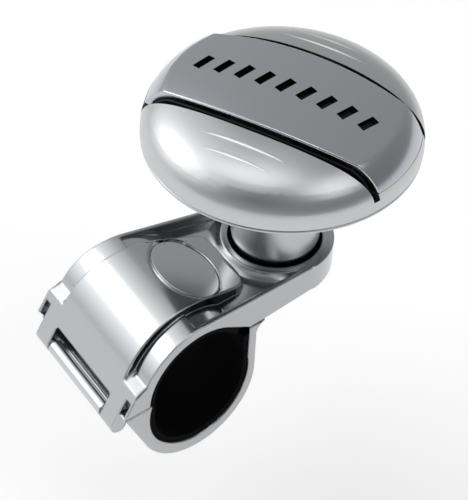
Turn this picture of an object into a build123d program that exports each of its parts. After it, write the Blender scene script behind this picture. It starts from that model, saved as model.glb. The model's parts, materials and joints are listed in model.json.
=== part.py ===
"""Steering wheel spinner knob.

A chromed die-cast arm carries a rubber-lined clamp at one end and a ball-bearing
knob at the other. The clamp's lower jaw swings on a pin at the outer side and is
drawn up by one socket screw under the arm.

Frame: the origin is on the clamp's bore axis, Y runs along the bore, Z is along
the knob's axis, and +X points from the clamp to the knob. Millimetres.
"""
import os
from math import asin, atan2, cos, degrees, radians, sin, sqrt, tan

from build123d import *

os.makedirs("parts", exist_ok=True)

# Arm in plan
knob_offset = 33.0           # bore axis to knob axis
arm_end_radius = 15.1
arm_taper = 7.3              # each side's angle to the arm's middle line, degrees
clamp_back = 30.0            # how far the outline is drawn past the bore axis

# Clamp in side view
upper_bore = 15.75           # radius of the upper half's opening
upper_wall = 3.0             # from that opening up to the arm's rim
arch_end_angle = 60.0        # where that arc runs off into a straight flank
seam_z = 0.15                 # split between the halves at the outer side
seam_gap = 0.3
underside_z = 10.75           # arm's underside at the knob axis
underside_slope = 0.085      # fall of the underside towards the clamp, mm per mm
panel_rise = 1.6             # raised panel over the clamp, above the rim
panel_center = (0.0, -0.85)
panel_slope = 11.0           # the panel's fall towards the knob, degrees
panel_inset = 6.6            # from the arm's edge, so its sides taper with the arm
panel_end_x = 18.3
panel_corner = 4.0
panel_edge = 0.5             # rounding of its upper edges
wall_angle = 27.5            # the outer wall's lean from upright, degrees
ring_foot_z = 6.4            # where the clamp's rings have spread to the outer wall
tongue_half_width = 19.0     # part of the outer wall that reaches down to the hinge
tray_floor_z = 15.75          # floor between the rims near the knob
rim_width = 1.3
notch_half_width = 13.5
notch_top_z = 1.55
slot_width = 2.2             # slots between the tongue and the clamp's rings
slot_top_z = 3.95
slot_depth = 2.6

# Lower jaw
jaw_center = (-0.1, -4.55)
jaw_bore = 15.6
jaw_right_x = 15.2           # inner face of the upright wall under the arm
jaw_right_wall = 2.4
jaw_bottom_wall = 3.3
jaw_flank_angle = 27.5       # the lower outer flank's lean from upright, degrees
jaw_flare = 4.3              # the upright wall spreads where it meets the arm
jaw_flare_reach = 2.6
tongue_gap = 0.35

# Hinge
hinge_z = -4.65
barrel_radius = 2.1
pin_radius = 1.1
pin_fit = 0.04               # running clearance on the radius
pin_blind = 1.5              # wall left at the ear that faces the driver
pin_chamfer = 0.25
strap_half_width = 12.6
strap_length = 9.0
rivet_pitch = 8.5
rivet_radius = 1.25
rivet_head_radius = 2.1
rivet_head_height = 0.8
rivet_depth = 1.6

# Rubber pads
pad_thickness = 1.6
pad_inset = 0.6              # from the clamp's end faces
pad_arch_end = 38.0          # where the upper pad stops beside the arm, degrees
lower_pad_top = 6.55

# Clamp screw, in a tapped boss under the arm
screw_x = 23.4
screw_z = 11.35               # where the thread's middle lies
screw_thread = 1.8           # from that point to the screw's tip
screw_radius = 2.5
screw_clearance = 0.35       # lets the screw leave the boss as the jaw swings
screw_fit = 0.1
screw_seat = 7.6             # from that point down to the washer's seat
boss_start_x = 20.5
boss_end_x = 28.5
lug_half_width = 6.5
lug_top_z = 7.55
lug_bottom_z = 2.55
lug_gap = 0.4
lug_end_x = 33.0
lug_corner = 5.5
screw_head_radius = 4.25
screw_head_height = 5.0
hex_flats = 4.0
hex_depth = 2.6
screw_head_chamfer = 0.5
washer_radius = 4.9
washer_thickness = 0.8
counterbore_clearance = 0.25

# Oval plate let into the panel
plate_x = 6.4
plate_half_length = 11.2
plate_half_width = 7.4
plate_thickness = 0.8
plate_gap = 0.25
plate_recess = 1.1

# Seat in the arm, spindle and its screw
seat_hole_radius = 12.1
seat_land = 1.8              # flat ring round the hole
seat_cove_radius = 17.5      # where the hollow slope round the seat meets the floor
seat_depth = 4.2
seal_gap = 0.1
seal_height = 1.6
spindle_radius = 4.0
spindle_flange_radius = 8.5
spindle_flange_thickness = 2.0
spindle_collar_radius = 5.3
spindle_top_z = 48.75
spindle_screw_radius = 2.0
spindle_screw_head = 3.7
spindle_screw_depth = 8.0    # thread in the spindle
spindle_screw_spare = 0.5    # left over below that thread's end
spindle_screw_flats = 2.5
spindle_screw_socket = 1.3
spindle_chamfer = 0.6

# Ball bearings, two alike
bearing_outer = 9.5
bearing_width = 6.0
ball_radius = 1.5
ball_count = 9
ball_pitch_radius = 6.75
race_clearance = 0.05
land_half_gap = 1.15         # ball circle to the shoulder of either ring
cage_half_thickness = 0.8
cage_below = 0.8
cage_above = 2.1
pocket_clearance = 0.08
bearing_rise = 6.6           # from the spindle's flange up to the lower bearing's middle
bearing_spacing = 18.0
spacer_clearance = 0.05
spacer_wall = 1.15
lock_nut_flats = 12.0
lock_nut_height = 4.0
circlip_thickness = 1.0
circlip_inner = 8.4
circlip_groove = 0.6
circlip_gap = 4.0

# Neck of the knob and its base
neck_radius = 11.3
neck_clearance = 0.5         # over the spindle's flange
neck_hole_radius = 7.4
neck_fillet = 3.6
knob_base_z = 51.35           # underside of the knob
base_lip_radius = 34.4
base_lip_height = 1.1
base_thickness = 1.9
base_chamfer = 0.5
hub_flange_radius = 19.0
hub_flange_half_width = 12.2
hub_flange_thickness = 3.0
hub_screw_ring = 15.6
hub_screw_angle = 25.0       # from the band's direction, degrees
shell_screw_ring = 25.8
shell_screw_angle = 72.0
pillar_radius = 3.3
knob_screw_radius = 1.25
knob_screw_fit = 0.1
knob_screw_head = 2.4
knob_screw_head_height = 1.4
knob_screw_cross = 2.4        # length of each slot of the cross recess
knob_screw_slot = 0.6
knob_screw_recess = 0.8
shell_screw_length = 8.0

# Knob's shell
shell_radius = 35.0
shell_gap = 0.3
shoulder_z = 53.55            # where the upright side ends and the dome starts
dome_top_z = 67.05
dome_power = 2.5
shell_wall = 2.2
channel_width = 1.6
channel_floor_z = 55.65
groove_depth = 0.45
groove_width = 1.1
groove_rows = ((21.4, 11.5), (25.4, 9.2))   # distance from the middle and half length

# Band over the knob
band_angle = -60.0           # the band's direction from +X, degrees
band_half_width = 15.4
band_reveal = 0.3            # ledge left beside the band's plate
band_edge = 0.6              # rounding of its long edges
band_side_radius = 180.0     # the band's long edges, seen from above
band_thickness = 2.0
band_top_z = 68.35
band_crease_radius = 29.3
band_crease_z = 64.35
band_end_radius = 34.3
band_end_z = 57.45
band_fit = 0.02
bar_count = 9
bar_pitch = 5.6
bar_width = 2.3
bar_height = 5.4
bar_slant = 20.0             # degrees
bar_depth = 1.1


rim_height = upper_bore + upper_wall
panel_radius = rim_height + panel_rise - panel_center[1]
heel_x = jaw_right_x + jaw_right_wall + jaw_flare_reach
past_end_x = knob_offset + 2 * arm_end_radius


def half_width(x, inset=0.0):
    """Half the arm's width, seen from above, at a distance x from the bore axis."""
    side = radians(arm_taper)
    return (arm_end_radius - inset + (knob_offset - x) * sin(side)) / cos(side)


def teardrop(inset, back):
    """The arm's outline from above, drawn in from its edge by inset."""
    side = radians(arm_taper)
    radius = arm_end_radius - inset
    touch = (knob_offset + radius * sin(side), radius * cos(side))
    far = (back, half_width(back, inset))
    with BuildSketch() as outline:
        with BuildLine():
            Line(far, touch)
            ThreePointArc(touch, (knob_offset + radius, 0), (touch[0], -touch[1]))
            Line((touch[0], -touch[1]), (far[0], -far[1]))
            Line((far[0], -far[1]), far)
        make_face()
    return outline.sketch


def underside(x):
    """Height of the arm's underside."""
    return underside_z + underside_slope * (x - knob_offset)


def on_wall(distance, z):
    """Point of the side view parallel to the outer wall, at a distance from the panel's axis."""
    lean = radians(wall_angle)
    return (-(distance - sin(lean) * (z - panel_center[1])) / cos(lean), z)


def on_flank(distance, z):
    """Point of the side view on a plane parallel to the jaw's lower outer flank."""
    lean = radians(jaw_flank_angle)
    return (-(distance + sin(lean) * z) / cos(lean), z)


def around(center, radius, angle):
    """Point of a circle, the angle counted from the first axis."""
    return (center[0] + radius * cos(radians(angle)), center[1] + radius * sin(radians(angle)))


def beyond(point, direction, distance):
    """Point at a distance from another one, along a direction."""
    return (point[0] + distance * direction[0], point[1] + distance * direction[1])


def at_height(z):
    """Plane square to the knob's axis."""
    return Plane(origin=(knob_offset, 0, z))


def along_band(z):
    """The same plane, with its first axis along the band."""
    turn = radians(band_angle)
    return Plane(origin=(knob_offset, 0, z), x_dir=(cos(turn), sin(turn), 0), z_dir=(0, 0, 1))


def strip(grow, z):
    """The band's outline from above, wider by grow on each side."""
    reach = shell_radius + 2
    narrow = band_side_radius - sqrt(band_side_radius**2 - reach**2)
    wide = band_half_width + grow
    with BuildSketch(along_band(z)) as outline:
        with BuildLine():
            ThreePointArc((-reach, wide - narrow), (0, wide), (reach, wide - narrow))
            Line((reach, wide - narrow), (reach, narrow - wide))
            ThreePointArc((reach, narrow - wide), (0, -wide), (-reach, narrow - wide))
            Line((-reach, narrow - wide), (-reach, wide - narrow))
        make_face()
    return outline.sketch


def band_side(depth):
    """Half side view of the band's body, its outer surface drawn in by depth."""
    crown = (0, band_top_z - depth)
    crease = (band_crease_radius - 0.5 * depth, band_crease_z - 0.9 * depth)
    rim = (band_end_radius - depth, band_end_z)
    with BuildSketch(knob_side) as outline:
        with BuildLine():
            ThreePointArc(crown, (crease[0] / 2, crown[1] - (crown[1] - crease[1]) / 4), crease)
            ThreePointArc(crease, ((crease[0] + rim[0]) / 2 + 0.5, (crease[1] + rim[1]) / 2 + 0.35), rim)
            Polyline(rim, (rim[0], shell_bottom_z), (0, shell_bottom_z), crown)
        make_face()
    return outline.sketch


def dome_side(inset):
    """Half side view of the knob's dome, drawn in by inset."""
    wide = shell_radius - inset
    tall = dome_top_z - shoulder_z - inset
    steps = [radians(90 * i / 8) for i in range(9)]
    bend = 2 / dome_power
    rise = [(wide * cos(a) ** bend, shoulder_z + tall * sin(a) ** bend) for a in steps[:-1]]
    rise.append((0, shoulder_z + tall))
    with BuildSketch(knob_side) as outline:
        with BuildLine():
            Spline(*rise, tangents=((0, 1), (-1, 0)))
            Polyline(rise[-1], (0, shell_bottom_z), (wide, shell_bottom_z), rise[0])
        make_face()
    return outline.sketch


# Hinge axis: the barrel is flush with the outer wall, and the strap lies on the jaw's flank
hinge = on_wall(panel_radius - barrel_radius, hinge_z)
wall_normal = (-cos(radians(wall_angle)), sin(radians(wall_angle)))
flank_normal = (-cos(radians(jaw_flank_angle)), -sin(radians(jaw_flank_angle)))
flank_down = (sin(radians(jaw_flank_angle)), -cos(radians(jaw_flank_angle)))
flank_offset = hinge[0] * flank_normal[0] + hinge[1] * flank_normal[1] - barrel_radius
leaf_start = beyond(hinge, flank_normal, -barrel_radius)
leaf_end = beyond(leaf_start, flank_down, strap_length)
strap_thickness = barrel_radius - pin_radius - pin_fit
tongue_thickness = 2 * barrel_radius
tongue_inner = panel_radius - tongue_thickness

upper_center = (0.0, 0.0)
arch_radius = rim_height
arch_corner = around(upper_center, upper_bore, arch_end_angle)
flank_corner_z = arch_corner[1] - (jaw_right_x - arch_corner[0]) / tan(radians(arch_end_angle))

jaw_top_z = flank_corner_z - seam_gap

# Screw axis, square to the radius from the hinge, so the screw leaves its insert as the jaw swings
screw_tilt = degrees(atan2(screw_z - hinge[1], screw_x - hinge[0]))
screw_plane = Plane(
    origin=(screw_x, 0, screw_z),
    x_dir=(cos(radians(screw_tilt)), 0, sin(radians(screw_tilt))),
    z_dir=(-sin(radians(screw_tilt)), 0, cos(radians(screw_tilt))),
)

# Knob: side views are drawn on a plane through its axis, plans at a height
knob_side = Plane(origin=(knob_offset, 0, 0), x_dir=(1, 0, 0), z_dir=(0, -1, 0))
knob_axis = Axis((knob_offset, 0, 0), (0, 0, 1))
seat_floor_z = rim_height - seat_depth
lower_bearing_z = seat_floor_z + spindle_flange_thickness + bearing_rise
upper_bearing_z = lower_bearing_z + bearing_spacing
cove_run = seat_cove_radius - seat_hole_radius - seat_land
cove_rise = rim_height - tray_floor_z
cove_curve = (cove_run**2 + cove_rise**2) / (2 * cove_rise)
cove_middle = around(
    (seat_cove_radius, tray_floor_z + cove_curve), cove_curve, -90 - degrees(asin(cove_run / cove_curve)) / 2
)
shell_bottom_z = knob_base_z + base_lip_height + shell_gap
hub_screw_places = [
    around((0, 0), hub_screw_ring, half_turn + step)
    for half_turn in (0, 180)
    for step in (-hub_screw_angle, hub_screw_angle)
]
shell_screw_places = [
    around((0, 0), shell_screw_ring, half_turn + step)
    for half_turn in (0, 180)
    for step in (-shell_screw_angle, shell_screw_angle)
]
screw_cone_z = underside_z + spindle_screw_head - spindle_screw_radius + 0.2

# Places that more than one piece uses
strap_middle = beyond(leaf_start, flank_down, 0.62 * strap_length)
rivet_places = [(strap_middle[0], step * rivet_pitch, strap_middle[1]) for step in (-1, 0, 1)]
slope = radians(panel_slope)
plate_plane = Plane(
    origin=(plate_x, 0, panel_center[1] + (panel_radius - plate_x * sin(slope)) / cos(slope)),
    x_dir=(cos(slope), 0, -sin(slope)),
    z_dir=(sin(slope), 0, cos(slope)),
)

# Tray between the rims: flat near the knob, and the clamp's own round top near the bore
with BuildPart() as tray:
    with BuildSketch(Plane.XZ):
        with BuildLine():
            tray_radius = arch_radius - 0.7
            tray_start = around(upper_center, tray_radius, 96)
            tray_meet = degrees(asin(tray_floor_z / tray_radius))
            ThreePointArc(
                tray_start,
                around(upper_center, tray_radius, (96 + tray_meet) / 2),
                around(upper_center, tray_radius, tray_meet),
            )
            Polyline(
                around(upper_center, tray_radius, tray_meet),
                (knob_offset + arm_end_radius, tray_floor_z),
                (knob_offset + arm_end_radius, rim_height + 5),
                (tray_start[0], rim_height + 5),
                tray_start,
            )
        make_face()
    extrude(amount=clamp_back, both=True)
    extrude(teardrop(rim_width, -clamp_back), amount=clamp_back, both=True, mode=Mode.INTERSECT)

# Raised panel over the clamp
panel_touch = around(panel_center, panel_radius, 90 - panel_slope)
panel_end_z = panel_touch[1] - (panel_end_x - panel_touch[0]) * tan(radians(panel_slope))
panel_root = (upper_bore + arch_radius) / 2
kink = around(panel_center, panel_radius, 180 - wall_angle)
with BuildPart() as panel:
    with BuildSketch(Plane.XZ):
        with BuildLine():
            ThreePointArc(kink, around(panel_center, panel_radius, 115), panel_touch)
            Polyline(
                panel_touch,
                (panel_end_x, panel_end_z),
                (panel_end_x, tray_floor_z - 1),
                around(upper_center, panel_root, 58),
            )
            ThreePointArc(
                around(upper_center, panel_root, 58),
                around(upper_center, panel_root, 100),
                around(upper_center, panel_root, 160),
            )
            Polyline(around(upper_center, panel_root, 160), on_wall(panel_radius, ring_foot_z), kink)
        make_face()
    extrude(amount=clamp_back, both=True)
    extrude(teardrop(panel_inset, -clamp_back), amount=clamp_back, both=True, mode=Mode.INTERSECT)
    fillet(panel.edges().filter_by(Axis.Z).group_by(Axis.X)[-1], panel_corner)
    up_slope = Axis((0, 0, 0), (sin(radians(panel_slope)), 0, 1))
    panel_top = panel.faces().filter_by(GeomType.PLANE).sort_by(up_slope)[-1]
    fillet(panel_top.edges().sort_by(Axis.X)[1:], panel_edge)

# Arm bracket: side view drawn once, cut to the outline from above
with BuildPart() as arm_bracket:
    ring_end = around(upper_center, arch_radius, 180 - 24.5)
    with BuildSketch(Plane.XZ):
        with BuildLine():
            seam_in = (-sqrt(upper_bore**2 - seam_z**2), seam_z)
            ThreePointArc(seam_in, around(upper_center, upper_bore, 120), arch_corner)
            Polyline(
                arch_corner,
                (jaw_right_x, flank_corner_z),
                (heel_x, underside(heel_x)),
                (past_end_x, underside(past_end_x)),
                (past_end_x, rim_height),
                (0.0, rim_height),
            )
            ThreePointArc((0.0, rim_height), around(upper_center, arch_radius, 125), ring_end)
            wall_top = on_wall(panel_radius, ring_foot_z)
            Polyline(ring_end, wall_top, on_wall(panel_radius, seam_z), seam_in)
        make_face()
    extrude(amount=clamp_back, both=True)
    extrude(teardrop(0, -clamp_back), amount=clamp_back, both=True, mode=Mode.INTERSECT)

    # Tray between the rims
    add(tray.part, mode=Mode.SUBTRACT)

    # Seat round the neck, with a hollow slope down to the tray's floor
    with BuildSketch(knob_side):
        with BuildLine():
            Polyline(
                (seat_cove_radius, tray_floor_z),
                (seat_cove_radius, tray_floor_z - 1),
                (0, tray_floor_z - 1),
                (0, rim_height),
                (seat_hole_radius + seat_land, rim_height),
            )
            ThreePointArc((seat_hole_radius + seat_land, rim_height), cove_middle, (seat_cove_radius, tray_floor_z))
        make_face()
    revolve(axis=knob_axis)
    extrude(teardrop(0, -clamp_back), amount=clamp_back, both=True, mode=Mode.INTERSECT)
    with BuildSketch(Plane.XY.offset(rim_height)):
        with Locations((knob_offset, 0)):
            Circle(seat_hole_radius)
    extrude(amount=-seat_depth, mode=Mode.SUBTRACT)

    # Raised panel over the clamp, and the tongue that reaches down to the hinge
    add(panel.part)
    with BuildSketch(Plane.XZ):
        with BuildLine():
            tongue_tip_out = beyond(hinge, wall_normal, barrel_radius)
            tongue_tip_in = beyond(hinge, wall_normal, -barrel_radius)
            tip = (hinge[0] - barrel_radius * wall_normal[1], hinge[1] + barrel_radius * wall_normal[0])
            tongue_root = on_wall(tongue_inner, ring_foot_z - 0.5 * tongue_thickness)
            Polyline(tongue_tip_out, on_wall(panel_radius, ring_foot_z), tongue_root, tongue_tip_in)
            ThreePointArc(tongue_tip_in, tip, tongue_tip_out)
        make_face()
    extrude(amount=tongue_half_width, both=True)
    # Notch for the hinge barrel
    with BuildSketch(Plane.YZ.offset(-clamp_back)):
        with Locations((0, notch_top_z - 10)):
            RectangleRounded(2 * notch_half_width, 20, 1.0)
    extrude(amount=clamp_back + on_wall(tongue_inner - 1.0, hinge_z)[0], mode=Mode.SUBTRACT)
    with BuildSketch(Plane.XZ.offset(tongue_half_width - pin_blind)):
        with Locations(hinge):
            Circle(pin_radius)
    extrude(amount=-3 * tongue_half_width, mode=Mode.SUBTRACT)

    # Boss under the arm for the clamp screw
    with BuildSketch(Plane.XY.offset(lug_top_z + lug_gap)):
        with Locations(((boss_start_x + boss_end_x) / 2, 0)):
            boss_length = boss_end_x - boss_start_x
            RectangleRounded(boss_length, 2 * lug_half_width, 0.48 * boss_length)
    extrude(amount=underside(boss_end_x) + 0.5 - lug_top_z - lug_gap)
    with BuildSketch(screw_plane.offset(screw_thread)):
        Circle(screw_radius + screw_clearance)
    extrude(amount=-3 * screw_seat, mode=Mode.SUBTRACT)
    # Countersunk hole for the spindle's screw
    with BuildSketch(knob_side):
        with BuildLine():
            Polyline(
                (0, seat_floor_z),
                (spindle_screw_radius, seat_floor_z),
                (spindle_screw_radius, screw_cone_z),
                (spindle_screw_head + 1, screw_cone_z - spindle_screw_head - 1 + spindle_screw_radius),
                (0, screw_cone_z - spindle_screw_head - 1 + spindle_screw_radius),
                close=True,
            )
        make_face()
    revolve(axis=knob_axis, mode=Mode.SUBTRACT)
    # Recess for the oval plate, square to the sloping panel
    with BuildSketch(plate_plane):
        Ellipse(plate_half_width + plate_gap, plate_half_length + plate_gap)
    extrude(amount=-plate_recess, mode=Mode.SUBTRACT)
    # Short slots between the tongue and the ends of the clamp's rings
    slot_y = tongue_half_width + slot_width / 2
    with BuildSketch(Plane.YZ.offset(-clamp_back)):
        with Locations((slot_y, slot_top_z / 2), (-slot_y, slot_top_z / 2)):
            Rectangle(slot_width, slot_top_z)
    extrude(amount=clamp_back + on_wall(panel_radius - slot_depth, 0)[0], mode=Mode.SUBTRACT)

arm_bracket.part.label = "arm_bracket"
export_step(arm_bracket.part, "parts/arm_bracket.step")

# Lower jaw: one closed side view; its outer flank runs straight up to the hinge
jaw_outer_x = jaw_right_x + jaw_right_wall
jaw_bottom_z = jaw_center[1] - jaw_bore - jaw_bottom_wall
flank_cos = cos(radians(jaw_flank_angle))
flank_sin = sin(radians(jaw_flank_angle))
jaw_outer_radius = flank_offset + flank_cos * jaw_outer_x + flank_sin * jaw_bottom_z
jaw_outer_radius /= 1 + flank_cos - flank_sin
jaw_outer_center = (jaw_outer_x - jaw_outer_radius, jaw_bottom_z + jaw_outer_radius)
with BuildPart() as lower_jaw:
    jaw_seam_z = seam_z - seam_gap
    inner_right = (jaw_right_x, jaw_center[1] + sqrt(jaw_bore**2 - (jaw_right_x - jaw_center[0]) ** 2))
    inner_left = (jaw_center[0] - sqrt(jaw_bore**2 - (jaw_seam_z - jaw_center[1]) ** 2), jaw_seam_z)
    flank_touch = beyond(jaw_outer_center, flank_normal, jaw_outer_radius)
    wall_foot = (jaw_outer_x, jaw_outer_center[1])
    with BuildSketch(Plane.XZ):
        with BuildLine():
            Line((jaw_right_x, jaw_top_z), inner_right)
            ThreePointArc(inner_right, around(jaw_center, jaw_bore, 250), inner_left)
            Line(inner_left, on_flank(flank_offset, jaw_seam_z))
            Line(on_flank(flank_offset, jaw_seam_z), flank_touch)
            ThreePointArc(flank_touch, around(jaw_outer_center, jaw_outer_radius, 290), wall_foot)
            Line(wall_foot, (jaw_outer_x, jaw_top_z - jaw_flare))
            ThreePointArc(
                (jaw_outer_x, jaw_top_z - jaw_flare),
                (jaw_outer_x + 0.29 * jaw_flare_reach, jaw_top_z - 0.29 * jaw_flare),
                (jaw_outer_x + jaw_flare_reach, jaw_top_z),
            )
            Line((jaw_outer_x + jaw_flare_reach, jaw_top_z), (jaw_right_x, jaw_top_z))
        make_face()
    extrude(amount=clamp_back, both=True)
    extrude(teardrop(0, -clamp_back), amount=clamp_back, both=True, mode=Mode.INTERSECT)
    # Room for the bracket's tongue and hinge ears
    with BuildSketch(Plane.XZ):
        with BuildLine():
            Polyline(
                on_wall(tongue_inner - tongue_gap, seam_z + 1),
                on_wall(tongue_inner - tongue_gap, hinge_z),
                hinge,
                on_wall(panel_radius + 5, hinge_z),
                on_wall(panel_radius + 5, seam_z + 1),
                close=True,
            )
        make_face()
        with Locations(hinge):
            Circle(barrel_radius + tongue_gap)
    extrude(amount=tongue_half_width + tongue_gap, both=True, mode=Mode.SUBTRACT)
    # Lug under the arm for the clamp screw
    with BuildSketch(Plane.XZ):
        with BuildLine():
            Polyline(
                (jaw_outer_x - 1, lug_top_z),
                (lug_end_x, lug_top_z),
                (lug_end_x, lug_bottom_z),
                (jaw_outer_x + 3, lug_bottom_z),
                (jaw_outer_x - 1, lug_bottom_z - 4),
                close=True,
            )
        make_face()
    extrude(amount=lug_half_width, both=True)
    fillet(lower_jaw.edges().filter_by(Axis.Z).group_by(Axis.X)[-1], lug_corner)
    with BuildSketch(screw_plane):
        Circle(screw_radius + screw_fit)
    extrude(amount=-30, mode=Mode.SUBTRACT)
    with BuildSketch(screw_plane.offset(-screw_seat)):
        Circle(washer_radius + counterbore_clearance)
    extrude(amount=-15, mode=Mode.SUBTRACT)
    # Blind holes for the strap's rivets
    for place in rivet_places:
        with BuildSketch(Plane(origin=place, z_dir=(flank_normal[0], 0, flank_normal[1]))):
            Circle(rivet_radius)
        extrude(amount=-rivet_depth, mode=Mode.SUBTRACT)

lower_jaw.part.label = "lower_jaw"
export_step(lower_jaw.part, "parts/lower_jaw.step")

# Rubber pads bonded in both halves, a little inside the end faces
with BuildPart() as upper_pad:
    with BuildSketch(Plane.XZ):
        with BuildLine():
            pad_radius = upper_bore - pad_thickness
            pad_foot = (-sqrt(pad_radius**2 - seam_z**2), seam_z)
            pad_tip = around(upper_center, pad_radius, pad_arch_end)
            pad_tip_x = pad_tip[0] + 0.75 * pad_thickness
            pad_tip_fall = (pad_tip_x - arch_corner[0]) / tan(radians(arch_end_angle))
            pad_tip_out = (pad_tip_x, arch_corner[1] - pad_tip_fall)
            Line(pad_foot, seam_in)
            ThreePointArc(seam_in, around(upper_center, upper_bore, 120), arch_corner)
            Polyline(arch_corner, pad_tip_out, pad_tip)
            ThreePointArc(pad_tip, around(upper_center, pad_radius, 110), pad_foot)
        make_face()
    extrude(amount=clamp_back, both=True)
    extrude(teardrop(pad_inset, -clamp_back), amount=clamp_back, both=True, mode=Mode.INTERSECT)

upper_pad.part.label = "upper_pad"
export_step(upper_pad.part, "parts/upper_pad.step")

with BuildPart() as lower_pad:
    with BuildSketch(Plane.XZ):
        with BuildLine():
            low_radius = jaw_bore - pad_thickness
            low_x = jaw_right_x - pad_thickness
            low_right = (low_x, jaw_center[1] + sqrt(low_radius**2 - (low_x - jaw_center[0]) ** 2))
            low_left = (jaw_center[0] - sqrt(low_radius**2 - (jaw_seam_z - jaw_center[1]) ** 2), jaw_seam_z)
            Polyline((low_x, lower_pad_top), (jaw_right_x, lower_pad_top), inner_right)
            ThreePointArc(inner_right, around(jaw_center, jaw_bore, 250), inner_left)
            Line(inner_left, low_left)
            ThreePointArc(low_left, around(jaw_center, low_radius, 250), low_right)
            Line(low_right, (low_x, lower_pad_top))
        make_face()
    extrude(amount=clamp_back, both=True)
    extrude(teardrop(pad_inset, -clamp_back), amount=clamp_back, both=True, mode=Mode.INTERSECT)

    # Inside the upper pad's round opening the lower pad gives way
    with BuildSketch(Plane.XZ):
        Circle(upper_bore - pad_thickness)
    extrude(amount=clamp_back, both=True, mode=Mode.SUBTRACT)

lower_pad.part.label = "lower_pad"
export_step(lower_pad.part, "parts/lower_pad.step")

# Hinge strap: sheet steel rolled round the pin, its leaf riveted to the jaw's flank
with BuildPart() as hinge_strap:
    with BuildSketch(Plane.XZ):
        with Locations(hinge):
            Circle(barrel_radius)
        with BuildLine():
            Polyline(
                leaf_start,
                leaf_end,
                beyond(leaf_end, flank_normal, strap_thickness),
                beyond(leaf_start, flank_normal, strap_thickness),
                close=True,
            )
        make_face()
        with Locations(hinge):
            Circle(pin_radius + pin_fit, mode=Mode.SUBTRACT)
    extrude(amount=strap_half_width, both=True)
    for place in rivet_places:
        with BuildSketch(Plane(origin=place, z_dir=(flank_normal[0], 0, flank_normal[1]))):
            Circle(rivet_radius)
        extrude(amount=2 * strap_thickness, mode=Mode.SUBTRACT)

hinge_strap.part.label = "hinge_strap"
export_step(hinge_strap.part, "parts/hinge_strap.step")

with BuildPart() as hinge_pin:
    with BuildSketch(Plane.XZ.offset(tongue_half_width - pin_blind)):
        with Locations(hinge):
            Circle(pin_radius)
    extrude(amount=pin_blind + 0.3 - 2 * tongue_half_width)
    chamfer(hinge_pin.edges().filter_by(GeomType.CIRCLE), pin_chamfer)

hinge_pin.part.label = "hinge_pin"
export_step(hinge_pin.part, "parts/hinge_pin.step")

with BuildPart() as strap_rivets:
    for place in rivet_places:
        rivet_plane = Plane(origin=place, z_dir=(flank_normal[0], 0, flank_normal[1]))
        with BuildSketch(rivet_plane.offset(strap_thickness)):
            Circle(rivet_radius)
        extrude(amount=-rivet_depth - strap_thickness)
        with BuildSketch(rivet_plane.offset(strap_thickness)):
            Circle(rivet_head_radius)
        extrude(amount=rivet_head_height, taper=25)

strap_rivets.part.label = "strap_rivets"
export_step(strap_rivets.part, "parts/strap_rivets.step")

# Clamp screw and its washer
with BuildPart() as clamp_screw:
    with BuildSketch(screw_plane.offset(-screw_seat - washer_thickness)):
        Circle(screw_radius)
    extrude(amount=screw_seat + washer_thickness + screw_thread)
    with BuildSketch(screw_plane.offset(-screw_seat - washer_thickness)):
        Circle(screw_head_radius)
    extrude(amount=-screw_head_height)
    chamfer(clamp_screw.edges().filter_by(GeomType.CIRCLE).sort_by(Axis.Z)[0], screw_head_chamfer)
    with BuildSketch(screw_plane.offset(-screw_seat - washer_thickness - screw_head_height)):
        RegularPolygon(hex_flats / 2, 6, major_radius=False)
    extrude(amount=hex_depth, mode=Mode.SUBTRACT)

clamp_screw.part.label = "clamp_screw"
export_step(clamp_screw.part, "parts/clamp_screw.step")

with BuildPart() as screw_washer:
    with BuildSketch(screw_plane.offset(-screw_seat)):
        Circle(washer_radius)
        Circle(screw_radius + screw_fit, mode=Mode.SUBTRACT)
    extrude(amount=-washer_thickness)

screw_washer.part.label = "screw_washer"
export_step(screw_washer.part, "parts/screw_washer.step")

# Plain oval plate in the panel's recess
with BuildPart() as oval_plate:
    with BuildSketch(plate_plane.offset(-plate_recess)):
        Ellipse(plate_half_width, plate_half_length)
    extrude(amount=plate_thickness)

oval_plate.part.label = "oval_plate"
export_step(oval_plate.part, "parts/oval_plate.step")

# Seat: spindle with its screw from below, and the seal round its flange
with BuildPart() as spindle:
    with BuildSketch(knob_side):
        with BuildLine():
            Polyline(
                (0, seat_floor_z),
                (spindle_flange_radius, seat_floor_z),
                (spindle_flange_radius, seat_floor_z + spindle_flange_thickness),
                (spindle_collar_radius, seat_floor_z + spindle_flange_thickness),
                (spindle_collar_radius, lower_bearing_z - bearing_width / 2),
                (spindle_radius, lower_bearing_z - bearing_width / 2),
                (spindle_radius, spindle_top_z - spindle_chamfer),
                (spindle_radius - spindle_chamfer, spindle_top_z),
                (0, spindle_top_z),
                close=True,
            )
        make_face()
    revolve(axis=knob_axis)
    with BuildSketch(at_height(seat_floor_z)):
        Circle(spindle_screw_radius)
    extrude(amount=spindle_screw_depth, mode=Mode.SUBTRACT)

spindle.part.label = "spindle"
export_step(spindle.part, "parts/spindle.step")

with BuildPart() as spindle_screw:
    with BuildSketch(knob_side):
        with BuildLine():
            Polyline(
                (0, screw_cone_z - spindle_screw_head + spindle_screw_radius),
                (spindle_screw_head, screw_cone_z - spindle_screw_head + spindle_screw_radius),
                (spindle_screw_radius, screw_cone_z),
                (spindle_screw_radius, seat_floor_z + spindle_screw_depth - spindle_screw_spare),
                (0, seat_floor_z + spindle_screw_depth - spindle_screw_spare),
                close=True,
            )
        make_face()
    revolve(axis=knob_axis)
    with BuildSketch(at_height(screw_cone_z - spindle_screw_head + spindle_screw_radius)):
        RegularPolygon(spindle_screw_flats / 2, 6, major_radius=False)
    extrude(amount=spindle_screw_socket, mode=Mode.SUBTRACT)

spindle_screw.part.label = "spindle_screw"
export_step(spindle_screw.part, "parts/spindle_screw.step")

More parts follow.
